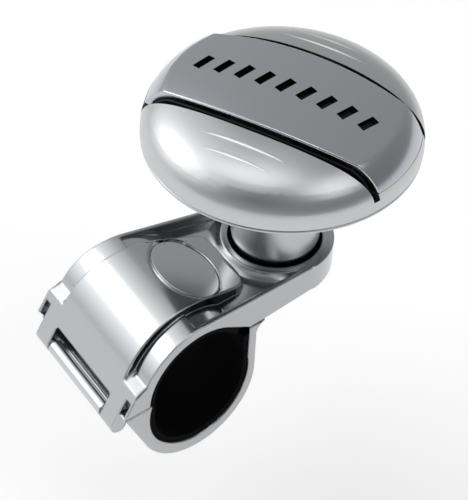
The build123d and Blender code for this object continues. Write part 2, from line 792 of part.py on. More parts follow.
with BuildPart() as seat_seal:
    with BuildSketch(at_height(seat_floor_z)):
        Circle(seat_hole_radius - seal_gap)
        Circle(spindle_flange_radius + seal_gap, mode=Mode.SUBTRACT)
    extrude(amount=seal_height)

seat_seal.part.label = "seat_seal"
export_step(seat_seal.part, "parts/seat_seal.step")

# Bearings: inner ring, outer ring, balls and a snap-in cage, each written for both heights
inner_land = ball_pitch_radius - land_half_gap
outer_land = ball_pitch_radius + land_half_gap
half_bearing = bearing_width / 2
for place, height in (("lower", lower_bearing_z), ("upper", upper_bearing_z)):
    with BuildPart() as inner_ring:
        with BuildSketch(at_height(height)):
            Circle(inner_land)
            Circle(spindle_radius, mode=Mode.SUBTRACT)
        extrude(amount=half_bearing, both=True)
        with BuildSketch(knob_side):
            with Locations((ball_pitch_radius, height)):
                Circle(ball_radius + race_clearance)
        revolve(axis=knob_axis, mode=Mode.SUBTRACT)

    inner_ring.part.label = place + "_inner_ring"
    export_step(inner_ring.part, "parts/" + place + "_inner_ring.step")

    with BuildPart() as outer_ring:
        with BuildSketch(at_height(height)):
            Circle(bearing_outer)
            Circle(outer_land, mode=Mode.SUBTRACT)
        extrude(amount=half_bearing, both=True)
        with BuildSketch(knob_side):
            with Locations((ball_pitch_radius, height)):
                Circle(ball_radius + race_clearance)
        revolve(axis=knob_axis, mode=Mode.SUBTRACT)

    outer_ring.part.label = place + "_outer_ring"
    export_step(outer_ring.part, "parts/" + place + "_outer_ring.step")

    with BuildPart() as balls:
        with Locations(at_height(height)):
            with PolarLocations(ball_pitch_radius, ball_count):
                Sphere(ball_radius)

    balls.part.label = place + "_balls"
    export_step(balls.part, "parts/" + place + "_balls.step")

    with BuildPart() as cage:
        with BuildSketch(at_height(height - cage_below)):
            Circle(ball_pitch_radius + cage_half_thickness)
            Circle(ball_pitch_radius - cage_half_thickness, mode=Mode.SUBTRACT)
        extrude(amount=cage_below + cage_above)
        with Locations(at_height(height)):
            with PolarLocations(ball_pitch_radius, ball_count):
                Sphere(ball_radius + pocket_clearance, mode=Mode.SUBTRACT)

    cage.part.label = place + "_cage"
    export_step(cage.part, "parts/" + place + "_cage.step")

# Spacers between the bearings
with BuildPart() as inner_spacer:
    with BuildSketch(at_height(lower_bearing_z + half_bearing)):
        Circle(spindle_radius + spacer_clearance + spacer_wall)
        Circle(spindle_radius + spacer_clearance, mode=Mode.SUBTRACT)
    extrude(amount=upper_bearing_z - lower_bearing_z - bearing_width)

inner_spacer.part.label = "inner_spacer"
export_step(inner_spacer.part, "parts/inner_spacer.step")

with BuildPart() as outer_spacer:
    with BuildSketch(at_height(lower_bearing_z + half_bearing)):
        Circle(bearing_outer - spacer_clearance)
        Circle(bearing_outer - spacer_clearance - spacer_wall, mode=Mode.SUBTRACT)
    extrude(amount=upper_bearing_z - lower_bearing_z - bearing_width)

outer_spacer.part.label = "outer_spacer"
export_step(outer_spacer.part, "parts/outer_spacer.step")

with BuildPart() as lock_nut:
    with BuildSketch(at_height(upper_bearing_z + half_bearing)):
        RegularPolygon(lock_nut_flats / 2, 6, major_radius=False)
        Circle(spindle_radius, mode=Mode.SUBTRACT)
    extrude(amount=lock_nut_height)

lock_nut.part.label = "lock_nut"
export_step(lock_nut.part, "parts/lock_nut.step")

with BuildPart() as hub_circlip:
    with BuildSketch(at_height(upper_bearing_z + half_bearing)):
        Circle(bearing_outer + circlip_groove)
        Circle(circlip_inner, mode=Mode.SUBTRACT)
        with Locations((-bearing_outer, 0)):
            Rectangle(circlip_gap, circlip_gap, mode=Mode.SUBTRACT)
    extrude(amount=circlip_thickness)

hub_circlip.part.label = "hub_circlip"
export_step(hub_circlip.part, "parts/hub_circlip.step")

# Neck: turned tube that holds both bearings, with a flange inside the knob
base_top_z = knob_base_z + base_thickness
neck_bottom_z = seat_floor_z + spindle_flange_thickness + neck_clearance
with BuildPart() as neck_hub:
    with BuildSketch(knob_side):
        with BuildLine():
            Polyline(
                (neck_hole_radius, neck_bottom_z),
                (neck_radius - neck_fillet, neck_bottom_z),
            )
            ThreePointArc(
                (neck_radius - neck_fillet, neck_bottom_z),
                around((neck_radius - neck_fillet, neck_bottom_z + neck_fillet), neck_fillet, -45),
                (neck_radius, neck_bottom_z + neck_fillet),
            )
            Polyline(
                (neck_radius, neck_bottom_z + neck_fillet),
                (neck_radius, base_top_z + hub_flange_thickness),
                (bearing_outer, base_top_z + hub_flange_thickness),
                (bearing_outer, lower_bearing_z - half_bearing),
                (neck_hole_radius, lower_bearing_z - half_bearing),
                (neck_hole_radius, neck_bottom_z),
            )
        make_face()
    revolve(axis=knob_axis)
    with BuildSketch(at_height(upper_bearing_z + half_bearing)):
        Circle(bearing_outer + circlip_groove)
    extrude(amount=circlip_thickness, mode=Mode.SUBTRACT)
    with BuildSketch(along_band(base_top_z)):
        Circle(hub_flange_radius)
        Rectangle(3 * hub_flange_radius, 2 * hub_flange_half_width, mode=Mode.INTERSECT)
        Circle(bearing_outer, mode=Mode.SUBTRACT)
        with Locations(*hub_screw_places):
            Circle(knob_screw_radius, mode=Mode.SUBTRACT)
    extrude(amount=hub_flange_thickness)

neck_hub.part.label = "neck_hub"
export_step(neck_hub.part, "parts/neck_hub.step")

# Base: plate with a lip under the shell
with BuildPart() as knob_base:
    with BuildSketch(at_height(knob_base_z)):
        Circle(base_lip_radius)
    extrude(amount=base_lip_height)
    with BuildSketch(at_height(knob_base_z)):
        Circle(shell_radius - shell_wall - shell_gap)
    extrude(amount=base_thickness)
    with BuildSketch(along_band(knob_base_z)):
        Circle(neck_radius + spacer_clearance)
        with Locations(*hub_screw_places, *shell_screw_places):
            Circle(knob_screw_radius + knob_screw_fit)
    extrude(amount=base_thickness, mode=Mode.SUBTRACT)
    chamfer(knob_base.faces().sort_by(Axis.Z)[0].outer_wire().edges(), base_chamfer)

knob_base.part.label = "knob_base"
export_step(knob_base.part, "parts/knob_base.step")

for name, places, length in (
    ("hub_screws", hub_screw_places, base_thickness + hub_flange_thickness - 0.3),
    ("shell_screws", shell_screw_places, shell_screw_length),
):
    with BuildPart() as screws:
        with BuildSketch(along_band(knob_base_z)):
            with Locations(*places):
                Circle(knob_screw_radius)
        extrude(amount=length)
        with BuildSketch(along_band(knob_base_z)):
            with Locations(*places):
                Circle(knob_screw_head)
        extrude(amount=-knob_screw_head_height, taper=12)
        with BuildSketch(along_band(knob_base_z - knob_screw_head_height)):
            with Locations(*places):
                Rectangle(knob_screw_cross, knob_screw_slot)
                Rectangle(knob_screw_slot, knob_screw_cross)
        extrude(amount=knob_screw_recess, mode=Mode.SUBTRACT)

    screws.part.label = name
    export_step(screws.part, "parts/" + name + ".step")

# Shapes cut from the shell: the channels beside the band, the room the band fills, and the hollow
with BuildPart() as channels:
    extrude(strip(channel_width, channel_floor_z), amount=20)
    extrude(strip(0.0, channel_floor_z), amount=20, mode=Mode.SUBTRACT)

with BuildPart() as over_band:
    extrude(strip(0.0, band_end_z - band_fit), amount=20)
    revolve(band_side(band_thickness + band_fit), axis=knob_axis, mode=Mode.SUBTRACT)

with BuildPart() as under_channels:
    extrude(strip(channel_width + shell_wall, channel_floor_z - shell_wall), amount=20)
    extrude(strip(-shell_wall, channel_floor_z - shell_wall), amount=20, mode=Mode.SUBTRACT)

with BuildPart() as over_rib:
    extrude(strip(-shell_wall, channel_floor_z - shell_wall), amount=20)
    revolve(band_side(band_thickness + shell_wall), axis=knob_axis, mode=Mode.SUBTRACT)

with BuildPart() as hollow:
    revolve(dome_side(shell_wall), axis=knob_axis)
    add(under_channels.part, mode=Mode.SUBTRACT)
    add(over_rib.part, mode=Mode.SUBTRACT)
    with BuildSketch(along_band(base_top_z)):
        with Locations(*shell_screw_places):
            Circle(pillar_radius)
    extrude(amount=20, mode=Mode.SUBTRACT)

with BuildPart() as grooves:
    with BuildSketch(along_band(shoulder_z)):
        for away, reach in groove_rows:
            for side in (-1, 1):
                with BuildLine():
                    start, end = (-reach, side * away), (reach, side * away)
                    ThreePointArc(start, (0, side * away + groove_width / 2), end)
                    ThreePointArc(end, (0, side * away - groove_width / 2), start)
                make_face()
    extrude(amount=20)
    revolve(dome_side(groove_depth), axis=knob_axis, mode=Mode.SUBTRACT)

with BuildPart() as knob_shell:
    revolve(dome_side(0.0), axis=knob_axis)
    add(channels.part, mode=Mode.SUBTRACT)
    add(over_band.part, mode=Mode.SUBTRACT)
    add(grooves.part, mode=Mode.SUBTRACT)
    add(hollow.part, mode=Mode.SUBTRACT)
    with BuildSketch(along_band(knob_base_z)):
        with Locations(*shell_screw_places):
            Circle(knob_screw_radius)
    extrude(amount=shell_screw_length, mode=Mode.SUBTRACT)

knob_shell.part.label = "knob_shell"
export_step(knob_shell.part, "parts/knob_shell.step")

# Band: a plate laid over the knob, engraved with a row of slanted bars
with BuildPart() as bars:
    with BuildSketch(along_band(shoulder_z)):
        with GridLocations(bar_pitch, 1, bar_count, 1):
            Rectangle(bar_width, bar_height, rotation=-bar_slant)
    extrude(amount=20)
    revolve(band_side(bar_depth), axis=knob_axis, mode=Mode.SUBTRACT)

with BuildPart() as top_band:
    revolve(band_side(0.0), axis=knob_axis)
    extrude(strip(-band_reveal, band_end_z), amount=20, mode=Mode.INTERSECT)
    fillet(top_band.edges().filter_by(GeomType.BSPLINE), band_edge)
    revolve(band_side(band_thickness), axis=knob_axis, mode=Mode.SUBTRACT)
    add(bars.part, mode=Mode.SUBTRACT)

top_band.part.label = "top_band"
export_step(top_band.part, "parts/top_band.step")
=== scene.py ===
# %% [markdown]
# # Steering wheel spinner knob
# The object is a plated zinc arm. One end clamps round the rim of a steering wheel, and the
# other carries a satin knob on ball bearings. The solid model gives every piece and how it
# moves, so this lesson is about surfaces: bright chrome, satin chrome, black rubber and turned
# steel, and the studio light that makes them readable.

# %% Load the solid model
import json
from math import cos, pi, radians, sin, sqrt

import bmesh
import bpy
from mathutils import Matrix, Vector

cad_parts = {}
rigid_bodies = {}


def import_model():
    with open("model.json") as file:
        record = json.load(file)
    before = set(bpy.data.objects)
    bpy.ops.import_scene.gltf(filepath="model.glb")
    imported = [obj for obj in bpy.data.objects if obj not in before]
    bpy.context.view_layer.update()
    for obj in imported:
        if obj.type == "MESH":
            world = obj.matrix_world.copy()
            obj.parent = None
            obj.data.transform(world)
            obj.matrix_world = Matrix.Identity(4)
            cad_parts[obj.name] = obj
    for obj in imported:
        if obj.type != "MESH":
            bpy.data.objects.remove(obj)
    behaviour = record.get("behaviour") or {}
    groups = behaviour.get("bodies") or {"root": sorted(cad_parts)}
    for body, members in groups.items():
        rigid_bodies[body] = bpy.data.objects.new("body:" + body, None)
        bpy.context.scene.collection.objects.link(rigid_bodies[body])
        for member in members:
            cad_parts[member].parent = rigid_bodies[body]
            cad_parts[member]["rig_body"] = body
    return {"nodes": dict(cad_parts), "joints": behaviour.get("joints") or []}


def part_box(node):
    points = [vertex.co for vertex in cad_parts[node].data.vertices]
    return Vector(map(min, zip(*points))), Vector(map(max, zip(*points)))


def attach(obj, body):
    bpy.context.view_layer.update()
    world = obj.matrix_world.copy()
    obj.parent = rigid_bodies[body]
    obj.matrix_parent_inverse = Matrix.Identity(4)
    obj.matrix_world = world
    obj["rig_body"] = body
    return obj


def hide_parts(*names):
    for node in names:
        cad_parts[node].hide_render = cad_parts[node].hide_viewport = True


MM = 0.001
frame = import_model()
nodes = frame["nodes"]
joints = {joint["name"]: joint for joint in frame["joints"]}
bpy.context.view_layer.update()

# %% [markdown]
# ## Colours and nodes
# A colour picked from a screen is sRGB, and Blender's shader sockets are linear, so one
# function turns a hex value to linear. A second one adds a node, sets it and links it. A noise
# node asks how many patches fit in a metre, so a third turns a size in millimetres to that.
# With these, each finish below reads as a short recipe.

# %% Colours, nodes and the size of a pattern
def linear(code):
    """Turn an sRGB hex value to a linear colour with full alpha."""
    parts = [int(code[i:i + 2], 16) / 255 for i in (1, 3, 5)]
    return [c / 12.92 if c <= 0.04045 else ((c + 0.055) / 1.055) ** 2.4 for c in parts] + [1.0]


def add_node(tree, kind, links=None, **settings):
    """Add a node, set its inputs and properties, and link it to earlier sockets."""
    node = tree.nodes.new(kind)
    for name, value in settings.items():
        if name.startswith("in_"):
            key = name[3:]
            socket = node.inputs[int(key) if key.isdigit() else key.replace("_", " ")]
            socket.default_value = value
        else:
            setattr(node, name, value)
    for key, socket in (links or {}).items():
        tree.links.new(socket, node.inputs[key])
    return node


def patches(size):
    """The noise scale that makes patches of a size in millimetres."""
    return 1 / (size * MM)


print("mid grey, linear:", [round(c, 3) for c in linear("#808080")], "1 mm is scale", patches(1))

# %% [markdown]
# ## One shader to start from
# Each finish is one Principled shader. Its colour and its metal are the same all over, so they
# are set on its own sockets. Patterns only change how glossy it is and how its surface tilts.

# %% A material with one shader
def new_material(name, tint, metallic=0.0):
    """Start a material from one Principled shader, and return it with its tree and shader."""
    material = bpy.data.materials.new(name)
    material.use_nodes = True
    tree = material.node_tree
    tree.nodes.clear()
    out = tree.nodes.new("ShaderNodeOutputMaterial")
    shader = tree.nodes.new("ShaderNodeBsdfPrincipled")
    tree.links.new(shader.outputs["BSDF"], out.inputs["Surface"])
    shader.inputs["Base Color"].default_value = linear(tint)
    shader.inputs["Metallic"].default_value = metallic
    return material, tree, shader


def uneven_gloss(tree, shader, pattern, least, most):
    """Let a pattern change the shader's roughness between two values."""
    gloss = add_node(
        tree, "ShaderNodeMapRange", {"Value": pattern.outputs["Fac"]},
        in_To_Min=least, in_To_Max=most,
    )
    tree.links.new(gloss.outputs["Result"], shader.inputs["Roughness"])


print("materials before the first finish:", len(bpy.data.materials))

# %% [markdown]
# ## Bright chrome
# The arm, the jaw and the hinge are zinc castings under decorative chrome: copper and nickel
# below, a thin hard layer of chromium on top. Chromium mirrors a little over half of the light,
# which is why chrome reads as grey and not as silver. A perfect mirror would be one number, but
# it looks like a drawing. Cast zinc is polished by hand before plating, so its surface is never
# quite flat and long reflections waver, and handling changes its gloss from place to place. Two
# noises give just that.

# %% Bright chrome
def bright_chrome(name, tint, rough, waviness, edge):
    """A wavering mirror, with edges rounded by the polishing wheel over some millimetres."""
    material, tree, shader = new_material(name, tint, 1.0)
    where = add_node(tree, "ShaderNodeTexCoord").outputs["Object"]
    handling = add_node(
        tree, "ShaderNodeTexNoise", {"Vector": where}, in_Scale=patches(9.091), in_Detail=4.0,
    )
    uneven_gloss(tree, shader, handling, rough * 0.8, rough * 1.25)
    # Waves from polishing are 8 mm long and about a micrometre high, drawn higher so they show
    polish = add_node(
        tree, "ShaderNodeTexNoise", {"Vector": where}, in_Scale=patches(8.0), in_Detail=1.0,
    )
    # The Bevel node tilts the normal near an edge, as a rounded edge would
    worn = add_node(tree, "ShaderNodeBevel", samples=6, in_Radius=edge * MM)
    waves = add_node(
        tree, "ShaderNodeBump", {"Height": polish.outputs["Fac"], "Normal": worn.outputs["Normal"]},
        in_Strength=waviness, in_Distance=0.04 * MM,
    )
    tree.links.new(waves.outputs["Normal"], shader.inputs["Normal"])
    return material


# Cast and polished by hand: a soft grey mirror with wavering reflections
arm_chrome = bright_chrome(
    "bright_chrome_on_cast_zinc", "#b7b9bb", rough=0.17, waviness=0.25, edge=0.8,
)
# Rolled steel is flatter, so the strap and the pin mirror more crisply
strap_chrome = bright_chrome(
    "bright_chrome_on_rolled_steel", "#c6c8ca", rough=0.15, waviness=0.1, edge=0.3,
)
# A pressed plate is flat too, and reads as one even tone
plate_chrome = bright_chrome(
    "bright_chrome_on_pressed_brass", "#c0c2c4", rough=0.16, waviness=0.1, edge=0.4,
)
# Dark chrome as painted shade on the panel's side walls and in the band's engraved bars, framing
# the bright parts
painted_shade_chrome = bright_chrome(
    "dark_chrome_in_panel_channel", "#26262a", rough=0.22, waviness=0.25, edge=0.3,
)
# Near-white chrome on the flutes' round bottoms as a painted highlight, so a flute shows as a light
# line
flute_painted_highlight = bright_chrome(
    "chrome_with_painted_highlight_in_flute", "#f4f4f4", rough=0.32, waviness=0.0, edge=0.2,
)
print("chrome tint, linear:", [round(c, 3) for c in linear("#b7b9bb")[:3]])

# %% [markdown]
# ## Satin chrome
# The knob is moulded ABS under satin chrome. The plating bath leaves it finely matt, so light
# spreads in a wide soft glow. Roughness alone gives the glow, and a fine grain keeps it from
# looking like plastic. The grain is a few hundredths of a millimetre across on the real
# surface. Here it is drawn at about 0.15 mm, so that it just shows in a picture of this size.

# %% Satin chrome
def satin_chrome(name, tint, rough, grain):
    """A matt metal with a fine grain."""
    material, tree, shader = new_material(name, tint, 1.0)
    where = add_node(tree, "ShaderNodeTexCoord").outputs["Object"]
    bath = add_node(
        tree, "ShaderNodeTexNoise", {"Vector": where}, in_Scale=patches(16.667), in_Detail=3.0,
    )
    uneven_gloss(tree, shader, bath, rough * 0.93, rough * 1.07)
    pearl = add_node(
        tree, "ShaderNodeTexNoise", {"Vector": where}, in_Scale=patches(0.15385), in_Detail=2.0,
    )
    texture = add_node(
        tree, "ShaderNodeBump", {"Height": pearl.outputs["Fac"]},
        in_Strength=grain, in_Distance=0.04 * MM,
    )
    tree.links.new(texture.outputs["Normal"], shader.inputs["Normal"])
    return material


# The cheeks: a wide soft glow that shows how round they are
shell_satin = satin_chrome("satin_chrome_on_moulded_abs", "#c4c6c7", rough=0.31, grain=0.3)
# The band is smoother and a little bluer, so it stands off from the cheeks
band_satin = satin_chrome("satin_chrome_on_band_plate", "#bcbec4", rough=0.20, grain=0.12)
# The neck is turned steel under the same plating: its light stands in upright streaks
neck_satin = satin_chrome("satin_chrome_on_turned_steel", "#c0c2c4", rough=0.32, grain=0.15)
print("finishes so far:", len(bpy.data.materials))

# %% [markdown]
# ## Rubber, plastic and steel
# The clamp is lined with black nitrile rubber, moulded with a fine matt texture that returns
# almost no light. The knob's underside is bare grey ABS. The screws are dark zinc-plated
# steel, and the bearings are ground steel with nylon cages. They all differ in the same few
# numbers: colour, gloss, metal, and the size and depth of the texture. So one recipe serves
# them all, with the texture's size and depth in millimetres.

# %% Finishes with a fine texture
def fine_texture(name, tint, rough, size, depth, metallic=0.0, reflects=0.5):
    """A finish with one fine noise in both its gloss and its surface."""
    material, tree, shader = new_material(name, tint, metallic)
    where = add_node(tree, "ShaderNodeTexCoord").outputs["Object"]
    noise = add_node(
        tree, "ShaderNodeTexNoise", {"Vector": where}, in_Scale=patches(size), in_Detail=3.0,
    )
    uneven_gloss(tree, shader, noise, rough * 0.88, rough * 1.12)
    bump = add_node(
        tree, "ShaderNodeBump", {"Height": noise.outputs["Fac"]},
        in_Strength=0.4, in_Distance=depth * MM,
    )
    tree.links.new(bump.outputs["Normal"], shader.inputs["Normal"])
    shader.inputs["Specular IOR Level"].default_value = reflects
    return material


# Soot-black and matt: the opening reads as a dark hole with a barely visible wall
nitrile_rubber = fine_texture(
    "moulded_nitrile_rubber", "#050505", rough=0.8, size=0.4, depth=0.05, reflects=0.08,
)
# Near-black plastic finish used as painted shade in the channels beside the band
painted_shade_abs = fine_texture(
    "near_black_painted_shade", "#0d0d0f", rough=0.50, size=0.3333, depth=0.03, reflects=0.4,
)
# Zinc plating with a dark passivation: a dull metal that sets the screws off from the chrome
plated_screw = fine_texture(
    "dark_zinc_plated_steel", "#6a6b70", rough=0.28, size=0.5556, depth=0.02, metallic=1.0,
)
# Ground steel: bright and sharp, for the bearings and the spindle
ground_steel = fine_texture(
    "ground_bearing_steel", "#b5b7ba", rough=0.16, size=0.25, depth=0.01, metallic=1.0,
)
# The knob's underside: soft grey with a weak sheen
grey_abs = fine_texture(
    "moulded_grey_abs", "#626466", rough=0.50, size=0.3333, depth=0.03, reflects=0.4,
)
# Natural nylon: the cream colour of bearing cages
nylon = fine_texture("moulded_nylon", "#d9d2b4", rough=0.45, size=0.6667, depth=0.02)
print("finishes in all:", len(bpy.data.materials))

# %% [markdown]
# ## Which piece gets which finish
# A table of finishes and pieces is quicker to read and to change than a line for each piece.
# The inner pieces are never seen in the picture, but they get their finish too, because the
# model is also looked at taken apart.

# %% Finishes on the solids
finishes = {
    arm_chrome: ("arm_bracket", "lower_jaw"),
    strap_chrome: ("hinge_strap", "hinge_pin", "strap_rivets"),
    plate_chrome: ("oval_plate",),
    shell_satin: ("knob_shell",),
    band_satin: ("top_band",),
    neck_satin: ("neck_hub",),
    nitrile_rubber: ("upper_pad", "lower_pad", "seat_seal"),
    grey_abs: ("knob_base",),
    plated_screw: (
        "clamp_screw", "screw_washer", "spindle_screw", "hub_screws", "shell_screws", "lock_nut",
        "hub_circlip",
    ),
    ground_steel: (
        "spindle", "inner_spacer", "outer_spacer", "lower_inner_ring", "upper_inner_ring",
        "lower_outer_ring", "upper_outer_ring", "lower_balls", "upper_balls",
    ),
    nylon: ("lower_cage", "upper_cage"),
}
for finish, names in finishes.items():
    for name in names:
        slots = nodes[name].data.materials
        slots.clear()
        slots.append(finish)
# A second finish: painted shade on the panel's walls, in the band's bars and in the knob's
# channels, and the plating on the base plate's lip
for name, second in (
    ("arm_bracket", painted_shade_chrome), ("top_band", painted_shade_chrome), ("knob_shell", painted_shade_abs),
    ("knob_base", shell_satin),
):
    nodes[name].data.materials.append(second)
print("finished nodes", sum(len(names) for names in finishes.values()), "of", len(nodes))

# %% [markdown]
# ## From a solid's triangles to chrome
# A solid model comes as loose triangles, and chrome shows every one of them. A remesh would hide
# them but soften every edge too. So each visible piece gets a copy, its triangles are joined,
# and those in one plane become one face. The solid itself is never changed.

# %% Joined copies
def joined_copy(name):
    """A bmesh of a solid's triangles, joined, with one face for each plane."""
    work = bmesh.new()
    work.from_mesh(nodes[name].data)
    bmesh.ops.remove_doubles(work, verts=work.verts, dist=0.002 * MM)
    bmesh.ops.dissolve_limit(
        work, angle_limit=0.0012, use_dissolve_boundaries=False, verts=work.verts, edges=work.edges,
    )
    return work


def sharp_edges(work, angle):
    """Edges where two faces meet at more than an angle in degrees."""
    return [
        edge for edge in work.edges
        if len(edge.link_faces) == 2 and edge.calc_face_angle() > radians(angle)
    ]


work = joined_copy("arm_bracket")
print("arm triangles", len(nodes["arm_bracket"].data.polygons), "joined faces", len(work.faces))
work.free()

# %% [markdown]
# ## Normals that keep flat faces flat
# Smooth shading averages the faces round a corner, and then the reflection bends on a flat face
# long before the curve begins. Blender can weigh the faces by their size, but it sees one
# face at a time, and a solid's flat side may be many. So each corner gets its normal here, from
# the faces round it up to the next sharp edge, weighed by the size of the whole flat side.

# %% Flat sides
def plane_groups(work, tilt=0.002):
    """Number the groups of touching faces in one plane, and add up each group's area."""
    group, areas = {}, []
    for face in work.faces:
        if face in group:
            continue
        group[face], waiting, area = len(areas), [face], 0.0
        while waiting:
            here = waiting.pop()
            area += here.calc_area()
            for edge in here.edges:
                for other in edge.link_faces:
                    if other not in group and here.normal.angle(other.normal, pi) < tilt:
                        group[other] = len(areas)
                        waiting.append(other)
        areas.append(area)
    return group, areas


work = joined_copy("lower_jaw")
print("flat sides of the jaw, facets among them:", len(plane_groups(work)[1]))
work.free()

# %% Normals for the corners
def corner_normals(work, angle):
    """One normal for each corner of each face, in the order of the faces."""
    group, areas = plane_groups(work)
    sharp = set(sharp_edges(work, angle))
    found = {}
    for vert in work.verts:
        left = list(vert.link_loops)
        while left:
            # A fan is the corners that are reached from one another without a sharp edge between
            fan, waiting = [], [left.pop(0)]
            while waiting:
                loop = waiting.pop()
                fan.append(loop)
                for edge in (loop.edge, loop.link_loop_prev.edge):
                    if edge in sharp:
                        continue
                    faces = list(edge.link_faces)
                    near = [corner for corner in left if corner.face in faces]
                    left = [corner for corner in left if corner not in near]
                    waiting += near
            normal = Vector((0.0, 0.0, 0.0))
            for loop in fan:
                normal += loop.face.normal * loop.calc_angle() * areas[group[loop.face]]
            normal = normal.normalized() if normal.length > 0 else fan[0].face.normal
            for loop in fan:
                found[loop] = normal
    return [found[loop] for face in work.faces for loop in face.loops]


def finished(name, work, angle=30.0):
    """Turn a bmesh to a smoothly shaded piece that stands in for a solid node."""
    work.normal_update()
    normals = corner_normals(work, angle)
    mesh = bpy.data.meshes.new(name + "_finished")
    work.to_mesh(mesh)
    work.free()
    mesh.polygons.foreach_set("use_smooth", [True] * len(mesh.polygons))
    mesh.normals_split_custom_set(normals)
    for slot in nodes[name].data.materials:
        mesh.materials.append(slot)
    piece = bpy.data.objects.new(mesh.name, mesh)
    bpy.context.scene.collection.objects.link(piece)
    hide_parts(name)
    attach(piece, nodes[name]["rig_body"])
    print(piece.name, "faces", len(mesh.polygons))


finished("hinge_strap", joined_copy("hinge_strap"))

# %% [markdown]
# ## Broken edges
# No cast edge is sharp. A polishing wheel rounds it, and the rounding draws a thin bright line
# in chrome. The long edges round the castings' sides are the ones that the eye follows, so they
# are real bevels in the mesh. The many short edges are left to the Bevel node in the chrome,
# because a mesh bevel has no room between them.

# %% Bevels
def break_edges(work, edges, width, segments):
    """Bevel edges by a width in millimetres."""
    bmesh.ops.bevel(
        work, geom=edges, offset=width * MM, offset_type="OFFSET", segments=segments, profile=0.5,
        affect="EDGES", clamp_overlap=False,
    )


def break_side_edges(work):
    """Bevel the edges round a casting's two big side faces, which face along the rim."""
    smallest_side = 200 * MM ** 2
    edges = [
        edge for edge in sharp_edges(work, 55.0)
        if edge.is_convex and any(
            abs(face.normal.y) > 0.98 and face.calc_area() > smallest_side
            for face in edge.link_faces
        )
    ]
    break_edges(work, edges, 0.45, 2)
    bmesh.ops.dissolve_degenerate(work, dist=0.002 * MM, edges=work.edges)
    return len(edges)


work = joined_copy("lower_jaw")
print("side edges of the jaw", break_side_edges(work))
finished("lower_jaw", work)

# %% [markdown]
# ## Arm
# The arm's raised panel holds an oval plate in a recess, and the recess has a broad bevel that
# catches the light as a bright ring. Beside the hinge stand two ears with rounded tops. Both
# could be in the solid, but they are trim that only shows in the finish, so they are cut into
# the joined copy. The side walls of the panel get a dark chrome as painted shade.

# %% Arm
low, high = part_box("oval_plate")
plate_middle = (low[0] + high[0]) / 2
recess_half_length, recess_half_width, recess_edge_height = 7.65 * MM, 11.45 * MM, 18.5 * MM


def on_recess_edge(vert):
    """Whether a point lies on the wall of the plate's recess, near its upper edge."""
    across = (vert.co.x - plate_middle) / recess_half_length
    along = vert.co.y / recess_half_width
    return vert.co.z > recess_edge_height and abs(sqrt(across ** 2 + along ** 2) - 1) < 0.03


work = joined_copy("arm_bracket")
ring = [edge for edge in sharp_edges(work, 35.0) if all(on_recess_edge(v) for v in edge.verts)]
break_edges(work, ring, 0.6, 1)
print("recess edges", len(ring))

# %% Ear tops and panel walls
ear_top_normal, ears_begin, smallest_top = Vector((-0.41, 0.0, 0.91)), 14 * MM, 15 * MM ** 2
tops = [
    face for face in work.faces
    if (face.normal - ear_top_normal).length < 0.03
    and abs(face.calc_center_median().y) > ears_begin and face.calc_area() > smallest_top
]
edges = [
    edge for edge in work.edges
    if any(face in tops for face in edge.link_faces) and edge.calc_face_angle(0.0) > radians(50.0)
]
break_edges(work, edges, 0.8, 3)
print("ear tops", len(tops), "with edges", len(edges), "and side edges", break_side_edges(work))

# Dark chrome on the panel's side walls: painted shade
for face in work.faces:
    spot = face.calc_center_median() / MM
    if abs(face.normal.y) > 0.9 and 10.0 < abs(spot.y) < 15.0 and spot.x < 10.0 and spot.z > 8.0:
        face.material_index = 1
finished("arm_bracket", work)

# %% [markdown]
# ## Pieces that keep the solid's form
# The plate, the pads, the pin, the rivets, the rubber ring, the spindle, the neck, the screw
# and its washer have the right form already. They could be built again from Blender's own
# shapes, but then they would no longer follow the solid. So they only get joined faces and
# good normals. The strap is the first that the helper is tried on, above.

# %% Plain pieces
for name in (
    "oval_plate", "upper_pad", "lower_pad", "hinge_pin", "strap_rivets", "seat_seal", "spindle",
    "neck_hub", "clamp_screw", "screw_washer",
):
    finished(name, joined_copy(name))

# %% [markdown]
# ## Knob
# The two narrow channels beside the band and the engraved bars get dark finishes as painted
# shade. The base plate's lip is plated with the shell and shows as a silver line under it, while
# its underside is bare grey plastic. The faces are told apart by where they lie: below the dome,
# below the band's crown, or out at the lip.

# %% The knob's own directions
axis = Vector(joints["knob_spin"]["pos_m"])
along_band = Vector((0.5, -0.8660254, 0.0))
across_band = Vector((0.8660254, 0.5, 0.0))
shell_radius, skirt_height, dome_rise, dome_power = 35.0, 53.55, 13.5, 2.5
band_height, band_fall, band_reach = 68.35, 4.0, 29.3


def dome_height(reach):
    """Height of the shell's dome at a distance from the axis, in millimetres."""
    inside = max(0.0, 1.0 - (reach / shell_radius) ** dome_power)
    return skirt_height + dome_rise * inside ** (1 / dome_power)


def from_axis(point):
    """A point seen from the knob's axis, and its distance from the axis, in millimetres."""
    spot = (point - axis) / MM
    return spot, spot.to_2d().length


print("top of the dome", dome_height(0.0), "mm, top of the skirt", dome_height(shell_radius), "mm")

# %% Shell
channel_reach, channel_floor = 16.8, 55.0
# Near-black painted shade on the faces inside the channels beside the band
work = joined_copy("knob_shell")
for face in work.faces:
    spot, reach = from_axis(face.calc_center_median())
    below_dome = spot.z < dome_height(reach) - 0.2
    if below_dome and spot.z > channel_floor and abs(spot.dot(across_band)) < channel_reach:
        face.material_index = 1
print("dark faces of the shell", sum(face.material_index for face in work.faces))
finished("knob_shell", work)

# %% Band
bars_end, bars_half_height = 27.0, 10.0
# Dark chrome in the engraved bars' recesses: painted shade
work = joined_copy("top_band")
for face in work.faces:
    spot, reach = from_axis(face.calc_center_median())
    in_row = reach < bars_end and abs(spot.dot(across_band)) < bars_half_height
    if in_row and spot.z < band_height - band_fall * (reach / band_reach) ** 2 - 0.35:
        face.material_index = 1
print("dark faces of the band", sum(face.material_index for face in work.faces))
finished("top_band", work)

# %% Base plate
lip_begins = 33.5
work = joined_copy("knob_base")
for face in work.faces:
    reach = min(from_axis(vert.co)[1] for vert in face.verts)
    face.material_index = 1 if reach > lip_begins else 0
print("plated faces of the base plate", sum(face.material_index for face in work.faces))
finished("knob_base", work)

